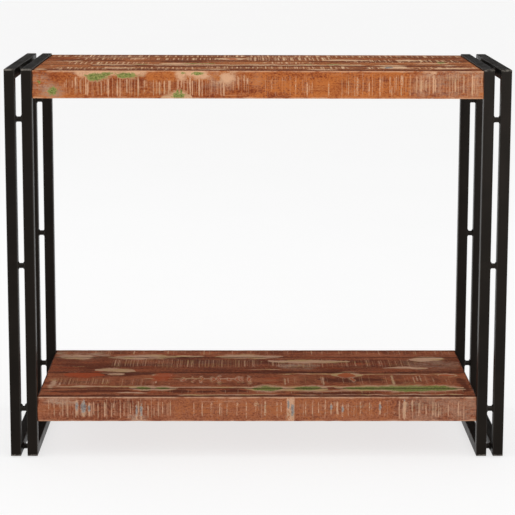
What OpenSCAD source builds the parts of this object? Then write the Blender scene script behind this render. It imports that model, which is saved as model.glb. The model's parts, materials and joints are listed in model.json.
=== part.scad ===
// Console table: two thick boards of reclaimed planks held between two doubled
// end frames of square steel tube. Each end is an outer and an inner closed loop,
// joined by short round spacers. X is the width, Y runs from the front to the
// rear, and Z is up. The origin is on the floor, in the middle of the footprint.

/* [Table] */
// Overall width
table_w = 950; // [700:10:1400]
// Overall depth
table_d = 380; // [300:10:500]
// Overall height
table_h = 750; // [650:10:850]

/* [Steel loops] */
// Side of the square tube
tube = 20; // [20:1:30]
// Wall of the tube
tube_wall = 1.5; // [1:0.1:3]
// Outside corner radius of the tube's section
tube_corner_r = 2; // [1:0.5:2]
// Rounding of the ground weld at each outside corner of a loop
loop_corner_r = 3; // [1:0.5:5]
// Clear gap between the outer and the inner loop of one end
loop_gap = 12; // [8:1:20]

/* [Spacers] */
// Diameter of the round bar between two loops
spacer_d = 10; // [6:1:10]
// Radius of the weld fillet around each end of a spacer
weld_r = 2.5; // [1:0.5:3]
// Height of the lowest post spacer, and the highest one's drop from the top
post_spacer_inset = 95; // [60:5:150]
// Distance of the top rails' spacers from the front and from the rear
top_rail_spacer_inset = 95; // [40:5:120]
// Distance of the bottom rails' spacers from the front and from the rear
bottom_rail_spacer_inset = 37; // [36:1:120]

/* [Boards] */
// Thickness of the top board
top_t = 52; // [48:1:60]
// Drop of the top board's surface below the top of the loops
top_drop = 3; // [0:1:10]
// Thickness of the shelf board
shelf_t = 48; // [48:1:60]
// Height of the shelf's underside above the floor
shelf_z = 72; // [40:1:300]
// Thickness of the planks, facings, end boards and battens
plank_t = 20; // [18:1:20]
// Flat strip on top of a facing, in front of its mitre
facing_land = 4; // [2:1:6]
// Plank seams of the top board, as fractions of the depth from the front
top_seams = [0.13, 0.36, 0.56, 0.84]; // [0.1:0.01:0.9]
// Plank seams of the shelf, as fractions of the depth from the front
shelf_seams = [0.17, 0.5, 0.84]; // [0.1:0.01:0.9]
// Width of a batten under the planks
batten_w = 40; // [30:1:60]

/* [Fixings] */
// Length of a fixing tab beyond its post
tab_len = 36; // [32:1:60]
// Height of a fixing tab
tab_h = 24; // [18:1:26]
// Thickness of a fixing tab
tab_t = 3; // [2:0.5:5]
// Shank diameter of the wood screws
screw_d = 4; // [3:0.5:5]
// Head diameter of the wood screws
screw_head_d = 8; // [7:0.5:9]
// Length of a tab screw under its head
tab_screw_len = 18; // [14:1:20]
// Length of a batten screw over its head
batten_screw_len = 32; // [28:1:34]
// Diameter of a glide
glide_d = 16; // [12:1:18]
// Thickness of a glide
glide_t = 2; // [1:0.5:5]

/* [Hidden] */
$fn = 48;
STEEL = "#24211f";
TOP_WOOD = "#a05a35";
SHELF_WOOD = "#7c3f2b";
PLAIN_WOOD = "#a98560";
ZINC = "#9a9c9e";
PLASTIC = "#17171a";

loop_h = table_h - glide_t;
board_len = table_w - 2 * (2 * tube + loop_gap);
outer_x = (table_w - tube) / 2;
inner_x = outer_x - tube - loop_gap;
gap_x = (outer_x + inner_x) / 2;
post_y = (table_d - tube) / 2;
batten_x = board_len / 6;
glide_y = post_y - tube / 2;
screw_tip = 4;
screw_head_h = 2.6;
hole_gap = 0.1;
tab_corner_r = 5;
tab_hole_inset = 9;
tab_hole_pitch = 16;
overshoot = 1;

// A board is its underside's height, its thickness, its seams and its colour.
TOP = [table_h - top_drop - top_t, top_t, top_seams, TOP_WOOD];
SHELF = [shelf_z, shelf_t, shelf_seams, SHELF_WOOD];
BOARDS = [["top", TOP], ["shelf", SHELF]];
SIDES = [["left", -1], ["right", 1]];
LOOPS = [["outer", outer_x], ["inner", inner_x]];
MEMBERS = ["front_post", "rear_post", "top_rail", "bottom_rail"];

function board_z(board) = board[0];
function board_t(board) = board[1];
function board_colour(board) = board[3];
function plank_count(board) = len(board[2]) + 1;
// Distances from the front edge at which the planks of a board meet or end
function plank_edges(board) = concat([0], board[2] * table_d, [table_d]);
// Where the screw of plank i stands, measured from the middle of the depth
function screw_y(board, i) =
    (max(plank_edges(board)[i], plank_t)
        + min(plank_edges(board)[i + 1], table_d - plank_t)
        - table_d) / 2;
function plank_name(board_name, i) = str(board_name, "_plank_", i + 1);

// ---- Shared shapes ----

// A rectangle from the origin, with rounded corners
module rounded_rect(w, h, r) {
    translate([r, 0]) square([w - 2 * r, h]);
    translate([0, r]) square([w, h - 2 * r]);
    for (x = [r, w - r], y = [r, h - r])
        translate([x, y]) circle(r);
}

module centred_rounded_square(side, r) {
    translate([-side / 2, -side / 2]) rounded_rect(side, side, r);
}

// Stands a flat shape up in the YZ plane and gives it a thickness along X
module extrude_x(length, center = false) {
    rotate([90, 0, 90]) linear_extrude(length, center = center) children();
}

// Draws its children on the side that side_sign points to; they are written for +X
module on_side(side_sign) {
    if (side_sign < 0) mirror([1, 0, 0]) children();
    else children();
}

// Draws its children at the rear, where they are written, and at the front
module front_and_rear() {
    children();
    mirror([0, 1, 0]) children();
}

// ---- Steel loops ----

module tube_section() {
    difference() {
        centred_rounded_square(tube, tube_corner_r);
        centred_rounded_square(tube - 2 * tube_wall, tube_corner_r / 4);
    }
}

// A tube up the Z axis, with 45 degree mitres that leave its -Y face the longer one
module mitred_tube(length) {
    intersection() {
        linear_extrude(length) tube_section();
        extrude_x(2 * tube, center = true) intersection() {
            polygon([
                [-tube / 2, 0],
                [tube / 2, tube],
                [tube / 2, length - tube],
                [-tube / 2, length]]);
            translate([-tube / 2, 0]) rounded_rect(2 * tube, length, loop_corner_r);
        }
    }
}

module loop_member(x, member) {
    color(STEEL) translate([x, 0, 0]) {
        if (member == "front_post")
            translate([0, -post_y, glide_t]) mitred_tube(loop_h);
        if (member == "rear_post")
            translate([0, post_y, glide_t]) mirror([0, 1, 0]) mitred_tube(loop_h);
        if (member == "top_rail")
            translate([0, -table_d / 2, table_h - tube / 2])
                rotate([-90, 0, 0]) mitred_tube(table_d);
        if (member == "bottom_rail")
            translate([0, -table_d / 2, glide_t + tube / 2])
                mirror([0, 1, -1]) mitred_tube(table_d);
    }
}

// Round bar across the gap between two loops, with the weld's fillet at each end
module spacer() {
    module fillet() {
        difference() {
            translate([spacer_d / 2, 0]) square(weld_r);
            translate([spacer_d / 2 + weld_r, weld_r]) circle(weld_r);
        }
    }
    rotate([0, 90, 0]) rotate_extrude() {
        translate([0, -loop_gap / 2]) {
            square([spacer_d / 2, loop_gap]);
            fillet();
        }
        translate([0, loop_gap / 2]) mirror([0, 1]) fillet();
    }
}

module post_spacers(side_sign) {
    heights = [post_spacer_inset, table_h / 2, table_h - post_spacer_inset];
    color(STEEL) front_and_rear()
        for (z = heights) translate([side_sign * gap_x, post_y, z]) spacer();
}

module rail_spacers(side_sign) {
    color(STEEL) front_and_rear() {
        translate([side_sign * gap_x, table_d / 2 - top_rail_spacer_inset, table_h - tube / 2])
            spacer();
        translate([side_sign * gap_x, table_d / 2 - bottom_rail_spacer_inset, glide_t + tube / 2])
            spacer();
    }
}

module glides(side_sign) {
    color(PLASTIC) front_and_rear()
        for (x = [outer_x, inner_x])
            translate([side_sign * x, glide_y, 0]) cylinder(d = glide_d, h = glide_t);
}

// ---- Fixing tabs and screws ----

// Height of the middle of a board's end boards, where its tabs are
function tab_z(board) = board_z(board) + (board_t(board) - plank_t) / 2;
// Places of a tab's two screws, measured forward from the rear post's front face
tab_hole_runs = [tab_len - tab_hole_inset, tab_len - tab_hole_inset - tab_hole_pitch];

// Plate welded to the front of the rear post, flush with the inner loop's inner face
module tab() {
    extrude_x(tab_t) difference() {
        translate([-tab_len, -tab_h / 2]) {
            translate([tab_corner_r, 0]) square([tab_len - tab_corner_r, tab_h]);
            rounded_rect(tab_len - tab_corner_r, tab_h, tab_corner_r);
        }
        for (run = tab_hole_runs) translate([-run, 0]) circle(d = screw_d + 4 * hole_gap);
    }
}

module fixing_tabs(side_sign) {
    color(STEEL) on_side(side_sign) front_and_rear()
        for (board = [TOP, SHELF])
            translate([board_len / 2, table_d / 2 - tube, tab_z(board)]) tab();
}

// Puts its children at the four tab screws of one board end, written with the
// head towards +Z and the seat of the head at the origin
module at_tab_screws(board, side_sign) {
    on_side(side_sign) front_and_rear() for (run = tab_hole_runs)
        translate([board_len / 2 + tab_t, table_d / 2 - tube - run, tab_z(board)])
            rotate([0, 90, 0]) children();
}

// Puts its children at the screw of plank i on one batten, written with the head
// towards +Z and its top at the origin, so that they point up into the plank
module at_batten_screw(board, side_sign, i) {
    translate([
        side_sign * batten_x,
        screw_y(board, i),
        board_z(board) + board_t(board) - 2 * plank_t])
        mirror([0, 0, 1]) children();
}

module pan_head_screw() {
    rotate_extrude() polygon([
        [0, -tab_screw_len],
        [screw_d / 2, screw_tip - tab_screw_len],
        [screw_d / 2, 0],
        [screw_head_d / 2, 0],
        [screw_head_d / 2, screw_head_h / 2],
        [screw_head_d / 3, screw_head_h],
        [0, screw_head_h]]);
}

module countersunk_screw() {
    rotate_extrude() polygon([
        [0, -batten_screw_len],
        [screw_d / 2, screw_tip - batten_screw_len],
        [screw_d / 2, -screw_head_h],
        [screw_head_d / 2, 0],
        [0, 0]]);
}

// The room a countersunk screw takes, with a little clearance
module countersunk_hole() {
    shank_r = screw_d / 2 + hole_gap;
    head_r = screw_head_d / 2 + hole_gap;
    rotate_extrude() polygon([
        [0, -batten_screw_len - hole_gap],
        [shank_r, -batten_screw_len - hole_gap],
        [shank_r, -screw_head_h],
        [head_r, 0],
        [head_r, overshoot],
        [0, overshoot]]);
}

module tab_screws(board) {
    color(ZINC) for (side_sign = [-1, 1])
        at_tab_screws(board, side_sign) pan_head_screw();
}

module batten_screws(board) {
    color(ZINC) for (side_sign = [-1, 1], i = [0 : plank_count(board) - 1])
        at_batten_screw(board, side_sign, i) countersunk_screw();
}

// ---- Boards ----

// Plank i of a board. The first and the last are mitred to the facings.
module plank(board, i) {
    top = board_t(board);
    under = top - plank_t;
    mitre = [[plank_t, under], [plank_t, under + facing_land], [facing_land, top]];
    front = plank_edges(board)[i];
    rear = plank_edges(board)[i + 1];
    last = plank_count(board) - 1;
    front_edge = i == 0 ? mitre : [[front, under], [front, top]];
    rear_edge = i == last
        ? [for (p = mitre) [table_d - p[0], p[1]]]
        : [[rear, under], [rear, top]];
    rear_edge_down = [for (k = [len(rear_edge) - 1 : -1 : 0]) rear_edge[k]];
    color(board_colour(board)) difference() {
        translate([0, -table_d / 2, board_z(board)])
            extrude_x(board_len, center = true)
                polygon(concat(front_edge, rear_edge_down));
        for (side_sign = [-1, 1])
            at_batten_screw(board, side_sign, i) countersunk_hole();
    }
}

// Rear facing, the full thickness of the board, mitred to the last plank
module rear_facing(board) {
    top = board_t(board);
    color(board_colour(board)) translate([0, table_d / 2, board_z(board)])
        extrude_x(board_len, center = true) polygon([
            [-plank_t, 0],
            [0, 0],
            [0, top],
            [-facing_land, top],
            [-plank_t, top - plank_t + facing_land]]);
}

module front_facing(board) {
    mirror([0, 1, 0]) rear_facing(board);
}

// Board under the plank ends, between the two facings, that takes the tab screws
module end_board(board, side_sign) {
    depth = table_d - 2 * plank_t;
    color(board_colour(board)) difference() {
        on_side(side_sign)
            translate([board_len / 2 - plank_t, -depth / 2, board_z(board)])
                cube([plank_t, depth, board_t(board) - plank_t]);
        at_tab_screws(board, side_sign) translate([0, 0, -tab_screw_len - hole_gap])
            cylinder(d = screw_d + 2 * hole_gap, h = tab_screw_len);
    }
}

// Cross batten that ties the planks together from below
module batten(board, side_sign) {
    depth = table_d - 2 * plank_t;
    color(PLAIN_WOOD) difference() {
        translate([
            side_sign * batten_x - batten_w / 2,
            -depth / 2,
            board_z(board) + board_t(board) - 2 * plank_t])
            cube([batten_w, depth, plank_t]);
        for (i = [0 : plank_count(board) - 1])
            at_batten_screw(board, side_sign, i) countersunk_hole();
    }
}

// ---- Nodes ----

for (s = SIDES) {
    for (l = LOOPS, m = MEMBERS)
        loop_member(s[1] * l[1], m);
    post_spacers(s[1]);
    rail_spacers(s[1]);
    fixing_tabs(s[1]);
    glides(s[1]);
}
for (b = BOARDS) {
    for (i = [0 : plank_count(b[1]) - 1])
        plank(b[1], i);
    front_facing(b[1]);
    rear_facing(b[1]);
    tab_screws(b[1]);
    batten_screws(b[1]);
    for (s = SIDES) {
        end_board(b[1], s[1]);
        batten(b[1], s[1]);
    }
}
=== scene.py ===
"""Console table: boards of reclaimed planks held between doubled end frames of black square tube."""
import json
import math
from functools import partial, partialmethod, reduce

import bmesh
import bpy
import numpy as np
from mathutils import Euler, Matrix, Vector


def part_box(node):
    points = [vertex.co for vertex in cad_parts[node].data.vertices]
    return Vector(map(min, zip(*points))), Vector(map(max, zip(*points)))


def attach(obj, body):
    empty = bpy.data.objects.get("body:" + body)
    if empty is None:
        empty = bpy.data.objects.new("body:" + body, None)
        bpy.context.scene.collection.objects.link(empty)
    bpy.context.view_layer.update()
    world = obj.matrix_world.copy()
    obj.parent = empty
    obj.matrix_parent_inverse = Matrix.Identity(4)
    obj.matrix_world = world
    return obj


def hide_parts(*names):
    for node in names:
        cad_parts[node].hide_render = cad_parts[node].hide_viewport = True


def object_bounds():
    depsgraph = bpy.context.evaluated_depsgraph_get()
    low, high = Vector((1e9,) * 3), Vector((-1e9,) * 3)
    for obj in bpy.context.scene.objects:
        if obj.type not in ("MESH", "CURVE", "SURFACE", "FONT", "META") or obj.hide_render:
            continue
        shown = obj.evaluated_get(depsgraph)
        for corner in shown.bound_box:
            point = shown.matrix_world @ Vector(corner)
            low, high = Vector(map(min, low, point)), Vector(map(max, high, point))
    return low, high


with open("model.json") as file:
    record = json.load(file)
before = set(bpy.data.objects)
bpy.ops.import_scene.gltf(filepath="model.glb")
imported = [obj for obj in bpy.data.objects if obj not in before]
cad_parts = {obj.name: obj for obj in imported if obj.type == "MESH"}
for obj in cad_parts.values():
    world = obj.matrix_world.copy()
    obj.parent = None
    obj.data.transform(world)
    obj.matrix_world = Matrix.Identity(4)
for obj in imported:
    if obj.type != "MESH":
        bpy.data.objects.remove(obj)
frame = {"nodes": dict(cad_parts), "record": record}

CAD_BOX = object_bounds()
MM = 0.001
SIDES = ("left", "right")
BOARDS = {"top": 5, "shelf": 4}  # how many planks each board has
LOOP_FOOT = 2.0  # mm, the underside of the loops, on top of the glides
WELD_FILLET = 2.5  # mm, the fillet at each end of the CAD's spacers
SCREW_HEAD = 2.6  # mm, the height of a screw's head
END_EASE = 2.4  # mm over which a board's ends are eased
END_DROP = 1.5  # mm that its faces fall there
PLANK_ARRIS = (0.9, 1.4)  # mm, an arris's usual radius and the depth of its nicks
MITRE_ARRIS = (0.35, 0.3)
EDGE_ARRIS = (1.1, 1.6)
HIDDEN_ARRIS = (0.4, 0.0)
JOINT_GAP = 0.3  # mm that a plank's side stands back from a seam
UNSEEN = 200.0  # mm between the points of an edge that nobody sees
SHARP = math.radians(38)  # edges sharper than this stay sharp
X, Y, Z = np.eye(3)  # the axes' directions


# ---- Numbers and colours ----

def tint(red, green, blue):
    """A colour given in 8-bit sRGB, as the linear RGBA that a shader takes."""
    def linear(value):
        value /= 255
        return value / 12.92 if value <= 0.04045 else ((value + 0.055) / 1.055) ** 2.4
    return (linear(red), linear(green), linear(blue), 1.0)


def smoothstep(low, high, value):
    t = np.clip((value - low) / (high - low), 0, 1)
    return t * t * (3 - 2 * t)


def value_noise(rng, u, v, cell_u, cell_v):
    """Smooth noise from -1 to 1 over coordinates u and v, with bumps about cell_u by cell_v across."""
    a = (u - u.min()) / cell_u
    b = (v - v.min()) / cell_v
    lattice = rng.uniform(-1, 1, (int(a.max()) + 2, int(b.max()) + 2))
    i, j = a.astype(int), b.astype(int)
    s, t = smoothstep(0, 1, a - i), smoothstep(0, 1, b - j)
    near = lattice[i, j] * (1 - s) + lattice[i + 1, j] * s
    far = lattice[i, j + 1] * (1 - s) + lattice[i + 1, j + 1] * s
    return near * (1 - t) + far * t


def box_mm(node):
    """A CAD node's lowest and highest corners, in millimetres."""
    low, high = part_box(node)
    return np.array(low) / MM, np.array(high) / MM


# ---- Shader nodes ----

class Nodes:
    """A node tree, and short calls that add nodes to it."""

    def __init__(self, tree):
        self.tree = tree

    def put(self, socket, value):
        """Links a socket to another, or sets its value."""
        if isinstance(value, bpy.types.NodeSocket):
            self.tree.links.new(value, socket)
        else:
            socket.default_value = value

    def add(self, kind, inputs=(), **settings):
        """Adds a node. inputs pairs the names or numbers of its inputs with values."""
        node = self.tree.nodes.new(kind)
        for key, value in settings.items():
            setattr(node, key, value)
        for key, value in dict(inputs).items():
            self.put(node.inputs[key], value)
        return node

    def math(self, operation, *values):
        return self.add("ShaderNodeMath", enumerate(values), operation=operation).outputs[0]

    def chain(self, operation, *values):
        """Joins any number of values, two at a time."""
        return reduce(partial(self.math, operation), values)

    product = partialmethod(chain, "MULTIPLY")
    total = partialmethod(chain, "ADD")
    most = partialmethod(chain, "MAXIMUM")
    minus = partialmethod(math, "SUBTRACT")
    scaled = partialmethod(math, "MULTIPLY_ADD")  # takes a value, its factor and what is added

    def swing(self, value, size):
        """Noise from 0 to 1 turned into noise of about -size to size."""
        return self.scaled(value, 2 * size, -size)

    def step(self, value, low, high):
        """0 below low, 1 above high, and smooth between; or the other way if low is above high."""
        limits = (low, high, 0, 1) if low < high else (high, low, 1, 0)
        node = self.add("ShaderNodeMapRange", enumerate((value, *limits)),
                        interpolation_type="SMOOTHSTEP")
        return node.outputs[0]

    def mix(self, factor, a, b):
        return self.add("ShaderNodeMix", {0: factor, 6: a, 7: b}, data_type="RGBA").outputs[2]

    def axes(self, vector):
        return self.add("ShaderNodeSeparateXYZ", {0: vector}).outputs

    def channels(self, colour):
        return self.add("ShaderNodeSeparateColor", {0: colour}).outputs[:3]


class Shader(Nodes):
    """A material with a Principled BSDF, whose colour is laid on in coats."""

    def __init__(self, name, roughness=0.5, specular=0.5, offset=0.0):
        self.offset = offset  # moves every noise, so that no two boards are alike
        self.material = bpy.data.materials.new(name)
        self.material.use_nodes = True
        super().__init__(self.material.node_tree)
        self.bsdf = self.tree.nodes["Principled BSDF"]
        self.surface({"Roughness": roughness, "Specular IOR Level": specular})
        self.place = self.add("ShaderNodeTexCoord").outputs["Object"]
        self.normal = self.add("ShaderNodeNewGeometry").outputs["Normal"]

    def surface(self, inputs):
        for name, value in inputs.items():
            self.put(self.bsdf.inputs[name], value)

    def coat(self, colour, *masks):
        """Lays a colour over the ones before it, as far as the product of the masks says."""
        self.colour = self.mix(self.product(*masks), self.colour, colour)

    def ramp(self, factor, *stops):
        node = self.add("ShaderNodeValToRGB", {0: factor})
        elements = node.color_ramp.elements
        while len(elements) < len(stops):
            elements.new(0.5)
        for element, (position, colour) in zip(elements, stops):
            element.position, element.color = position, colour
        return node.outputs[0]

    def noise(self, scale, offset=0.0, detail=4.0, roughness=0.55, distortion=0.0):
        """Noise whose bumps are 1/scale metres across, with one scale or one for each axis."""
        offset += self.offset
        place = self.add("ShaderNodeMapping", {
            "Vector": self.place, "Scale": np.broadcast_to(scale, 3).tolist(),
            "Location": (offset, offset * 0.7, offset * 1.3)})
        return self.add("ShaderNodeTexNoise", {
            "Vector": place.outputs[0], "Scale": 1.0, "Detail": detail, "Roughness": roughness,
            "Distortion": distortion}).outputs["Fac"]

    def attribute(self, name):
        """The red, green, blue and alpha channels of a colour attribute of the mesh."""
        source = self.add("ShaderNodeAttribute", attribute_name=name).outputs
        return (*self.channels(source["Color"]), source["Alpha"])

    def cells(self, place):
        """Uneven cells about 1 long: how far place is from its cell's middle, and three numbers from
        0 to 1 that are the cell's own."""
        node = self.add("ShaderNodeTexVoronoi", {"W": place, "Scale": 1.0, "Randomness": 0.85},
                        voronoi_dimensions="1D")
        return (node.outputs["Distance"], *self.channels(node.outputs["Color"]))

    def bump(self, height, distance, strength, after=None):
        node = self.add("ShaderNodeBump", {"Height": height, "Distance": distance, "Strength": strength})
        if after is not None:
            self.put(node.inputs["Normal"], after)
        return node.outputs[0]

    def finish(self, normal, roughness=None):
        self.surface({"Base Color": self.colour, "Normal": normal})
        if roughness is not None:
            self.surface({"Roughness": roughness})
        return self.material


# ---- Materials ----

def mitre_welds(s):
    """Masks of the ground welds along the loops' 45-degree mitres, and of the mitres' outside corners,
    which are ground the most and on which a highlight is painted."""
    half_depth, low, high = max(CAD_BOX[1][1], -CAD_BOX[0][1]), LOOP_FOOT * MM, CAD_BOX[1][2]
    _, y, z = s.axes(s.place)
    from_side = s.minus(half_depth, s.math("ABSOLUTE", y))
    from_end = s.math("MINIMUM", s.minus(high, z), s.minus(z, low))
    wander = s.swing(s.noise(260, 11.0, detail=3), 0.0022)
    away = s.math("ABSOLUTE", s.total(s.minus(from_side, from_end), wander))
    inward = s.most(from_side, from_end)
    weld = s.product(s.step(away, 0.0026, 0.0012), s.step(inward, 0.021, 0.0195))
    return weld, s.step(s.total(inward, wander), 0.0042, 0.0024)


def steel_material():
    """Satin warm-black powder coat with orange peel, thinner and paler along the tubes' corners, where
    the paler colour is also a painted highlight, and uneven over the ground welds. The mitres' outside
    corners are paler still: ground steel and a painted highlight."""
    s = Shader("powder_coat", specular=0.1)
    s.surface({"Specular Tint": (1.0, 0.91, 0.84, 1.0)})
    s.colour = s.ramp(s.noise(14, roughness=0.6), (0.3, tint(11, 8, 5)), (0.7, tint(20, 15, 11)))
    flattest = s.most(*(s.math("ABSOLUTE", axis) for axis in s.axes(s.normal)))
    corner = s.product(s.step(flattest, 0.98, 0.9), s.noise(60, 4.0))
    weld, highlit_ground_corner = mitre_welds(s)
    # Corners and welds paler: a thinner coat, and along the rounded corners a painted highlight.
    thin = s.most(corner, s.product(weld, s.noise(200, 6.0), 0.6))
    s.coat(tint(70, 66, 62), thin, 0.7)
    # The mitres' outside corners paler still: ground steel, and a painted highlight on the rounded edge.
    s.coat(tint(112, 107, 100), highlit_ground_corner, s.step(s.noise(170, 8.0, detail=3), 0.3, 0.6), 0.75)
    s.coat(tint(48, 45, 42), s.step(s.noise(900, 2.0, detail=2), 0.66, 0.78), 0.3)
    smear = s.noise((25, 25, 6), 7.0, detail=5)
    roughness = s.total(s.product(smear, 0.3), s.product(weld, 0.1), 0.24)
    ground = s.product(weld, s.noise(420, 9.0, detail=3))
    normal = s.bump(s.noise(750, 1.0, detail=1), 0.00006, 0.8)
    normal = s.bump(s.noise(2600, 3.0, detail=2), 0.00002, 0.5, normal)
    normal = s.bump(ground, 0.0003, 0.8, normal)
    return s.finish(normal, roughness)


class Wood:
    """A wood's colours, and how far its marks show. The colours are its darkest, middle and palest
    grain, its reddish patches and, on old wood, the pale filler in saw marks, fresh and dusty."""

    def __init__(self, *colours, bold=1.0, fleck=0.75):
        self.dark, self.middle, self.light, self.warm, *self.filler = (
            tint(*colour) for colour in colours)
        self.bold = bold  # how wide and plain the saw marks are
        self.fleck = fleck  # how far small flecks stray from the middle colour


TOP_FACE = Wood((108, 44, 20), (150, 78, 36), (174, 108, 60), (178, 102, 48), (202, 156, 122),
                (180, 142, 108), fleck=0.6)
TOP_PLANK = Wood((94, 42, 20), (150, 85, 46), (184, 121, 76), (162, 76, 30), (214, 174, 140),
                 (196, 162, 124), bold=1.8)
SHELF_FACE = Wood((88, 40, 27), (124, 68, 43), (146, 90, 63), (150, 88, 52), (186, 144, 116),
                  (162, 132, 104))
SHELF_PLANK = Wood((84, 38, 24), (134, 72, 46), (162, 98, 67), (160, 70, 36), (190, 152, 126),
                   (180, 150, 104), bold=0.9)
PLAIN_WOOD = Wood((120, 84, 52), (160, 122, 84), (182, 148, 108), (150, 110, 72))
OLD_GREEN = (tint(66, 92, 32), tint(138, 140, 76))
OLD_BLUE = (tint(92, 96, 100), tint(146, 138, 130))
# Grey of hazy paint, also laid over the facings' right ends as a painted sheen.
HAZE_AND_SHEEN_GREY = tint(164, 156, 140)
# Dark brown of dirt, also laid on as painted shade in the seams and beside the posts.
DIRT_AND_SHADE = tint(52, 28, 18)


def grain(s, wood, along, tone=0.0):
    """Lays on lengthwise grain and returns its height. along is the fibres' axis, 0 for X, 1 for Y."""
    def stretched(length, width, more, **settings):
        scale = [width, width, width]
        scale[along] = length
        return s.noise(scale, more, **settings)
    fibre = stretched(22, 520, 0, detail=6, roughness=0.62, distortion=0.05)
    fine = stretched(75, 1500, 3, roughness=0.6)
    cloud = stretched(7, 30, 5, detail=3)
    fleck = stretched(190, 300, 9, detail=6, roughness=0.75)
    blend = s.total(s.swing(fibre, 0.3), s.swing(cloud, 0.34), s.swing(fleck, wood.fleck), 0.5 + tone)
    s.colour = s.ramp(blend, (0.3, wood.dark), (0.5, wood.middle), (0.72, wood.light))
    s.coat(wood.dark, s.step(fine, 0.62, 0.72), 0.5)
    s.coat(wood.warm, s.step(stretched(11, 60, 13), 0.56, 0.68), 0.45)
    return s.total(s.product(fibre, 0.6), s.product(fine, 0.4))


def end_grain(s, wood):
    """Growth rings on the faces that point along X, where the planks are cut off."""
    _, y, z = s.axes(s.place)
    across = s.total(y, s.product(s.noise(40, 21), 0.03))
    deep = s.total(z, 0.11 + 0.02 * math.sin(s.offset))
    radius = s.math("SQRT", s.total(s.math("POWER", across, 2.0), s.math("POWER", deep, 2.0)))
    rings = s.math("SINE", s.product(radius, 2900.0))
    rings = s.total(s.product(rings, 0.25), s.noise(300, 23))
    cut = s.ramp(rings, (0.2, wood.dark), (0.75, wood.middle))
    s.coat(cut, s.step(s.math("ABSOLUTE", s.axes(s.normal)[0]), 0.75, 0.9))


def saw_strokes(s, bold):
    """Masks of the strokes that a saw left across the grain, and of the gaps between them, where shade is
    painted beside the strokes.
    The mesh's rows attribute holds how sawn a place is, its row's own number and the pitch in mm."""
    sawn, own, pitch, _ = s.attribute("rows")
    waver = s.swing(s.noise((45, 90, 90), 35, detail=3), 0.9)
    x = s.product(s.axes(s.place)[0], 1000.0)
    place = s.total(s.math("DIVIDE", s.total(x, waver), pitch), s.product(own, 60.0))
    frayed = s.total(sawn, s.swing(s.noise((140, 90, 90), 37, detail=3), 0.35),
                     s.swing(s.noise((16, 40, 40), 38, detail=2), 0.28), 0.03)

    def row(place, pitch, thin, thick, most):
        away, first, second, third = s.cells(place)
        half = s.scaled(s.math("POWER", first, 2.0), thick - thin, thin)
        ragged = s.noise((500, 260, 260), 39, roughness=0.7)
        wide = s.scaled(ragged, 2.4, -0.2)
        near = s.math("DIVIDE", s.product(away, pitch), s.product(half, wide))
        alive = s.step(s.minus(frayed, s.scaled(second, 0.5, 0.08)), 0.0, 0.16)
        power = s.scaled(third, 0.6 * most, 0.4 * most)
        return s.product(s.step(near, 1.3, 0.7), alive, power), s.product(alive, away)

    strong, beside = row(place, pitch, 0.5 * bold, 1.6 * bold, min(0.8 * bold, 1.0))
    faint, _ = row(s.product(place, 2.6), s.product(pitch, 0.38), 0.4, 0.8, 0.4)
    # The second mask marks the painted shade between the strokes.
    return s.most(strong, faint), s.step(beside, 0.12, 0.3)


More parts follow.
